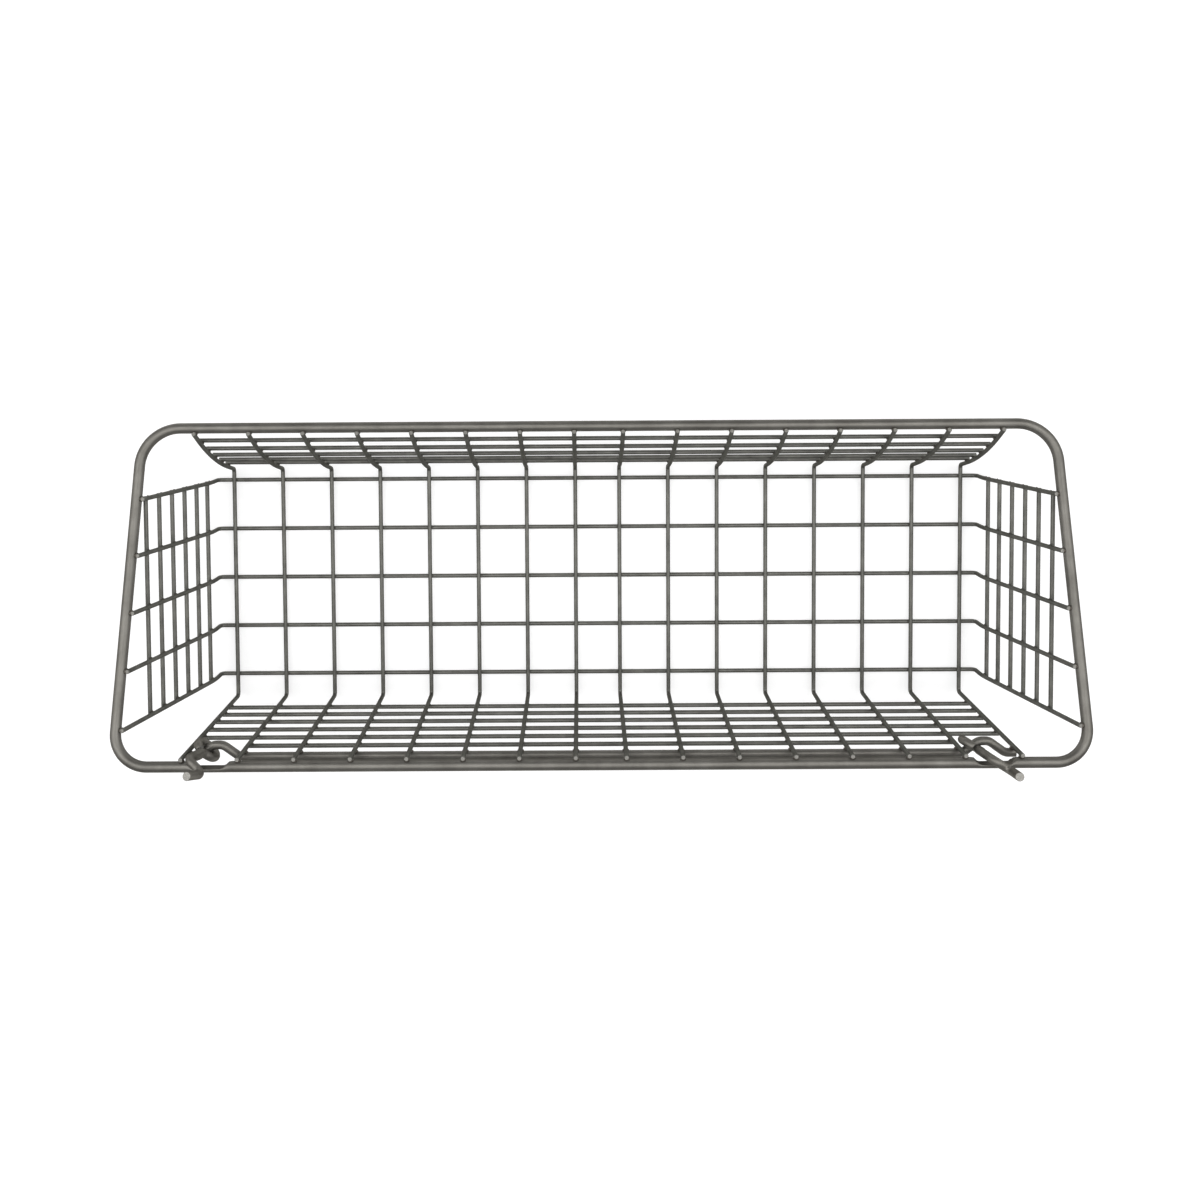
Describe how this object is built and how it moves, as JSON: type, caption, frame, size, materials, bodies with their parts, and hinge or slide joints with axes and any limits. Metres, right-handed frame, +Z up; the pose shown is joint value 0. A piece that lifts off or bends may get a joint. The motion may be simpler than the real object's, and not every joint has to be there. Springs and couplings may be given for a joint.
{
  "type": "pegboard basket",
  "caption": "Long welded wire mesh basket with a sloping heavy rim, a back rail and loose swinging wire hooks that hang it on a pegboard.",
  "frame": {"origin": "underside of the middle long wire, under the middle of the floor", "axes": "+X to the right along the length, +Y towards the board, +Z up"},
  "size_m": [0.4446, 0.1558, 0.1307],
  "materials": {
    "wire_steel": "satin grey-brown drawn wire",
    "hook_steel": "satin drawn wire, cut ends bright"
  },
  "bodies": {
    "basket": {"rim": "wire_steel", "hanging_rail": "wire_steel", "left_rail_bump": "wire_steel", "right_rail_bump": "wire_steel", "cross_wire_01": "wire_steel", "cross_wire_02": "wire_steel", "cross_wire_03": "wire_steel", "cross_wire_04": "wire_steel", "cross_wire_05": "wire_steel", "cross_wire_06": "wire_steel", "cross_wire_07": "wire_steel", "cross_wire_08": "wire_steel", "cross_wire_09": "wire_steel", "cross_wire_10": "wire_steel", "cross_wire_11": "wire_steel", "cross_wire_12": "wire_steel", "cross_wire_13": "wire_steel", "cross_wire_14": "wire_steel", "cross_wire_15": "wire_steel", "cross_wire_16": "wire_steel", "long_wire_1": "wire_steel", "long_wire_2": "wire_steel", "long_wire_3": "wire_steel", "long_wire_4": "wire_steel", "long_wire_5": "wire_steel", "front_wire_1": "wire_steel", "front_wire_2": "wire_steel", "front_wire_3": "wire_steel", "front_wire_4": "wire_steel", "front_wire_5": "wire_steel", "back_wire_1": "wire_steel", "back_wire_2": "wire_steel", "back_wire_3": "wire_steel", "back_wire_4": "wire_steel", "back_wire_5": "wire_steel", "short_back_wire": "wire_steel", "left_side_wire_1": "wire_steel", "left_side_wire_2": "wire_steel", "left_side_wire_3": "wire_steel", "left_side_wire_4": "wire_steel", "left_side_wire_5": "wire_steel", "left_side_wire_6": "wire_steel", "right_side_wire_1": "wire_steel", "right_side_wire_2": "wire_steel", "right_side_wire_3": "wire_steel", "right_side_wire_4": "wire_steel", "right_side_wire_5": "wire_steel", "right_side_wire_6": "wire_steel"},
    "left_hook": {"left_hook": "hook_steel"},
    "right_hook": {"right_hook": "hook_steel"}
  },
  "joints": [
    {"name": "left_hook_swing", "type": "hinge", "parent": "basket", "child": "left_hook", "pos_m": [-0.17055, 0.06334, 0.09413], "axis": [0.5279, 0.8448, 0.0872], "range_deg": [-10, 115]},
    {"name": "right_hook_swing", "type": "hinge", "parent": "basket", "child": "right_hook", "pos_m": [0.18115, 0.06334, 0.09413], "axis": [0.6691, 0.7431, 0], "range_deg": [-18, 170]}
  ]
}
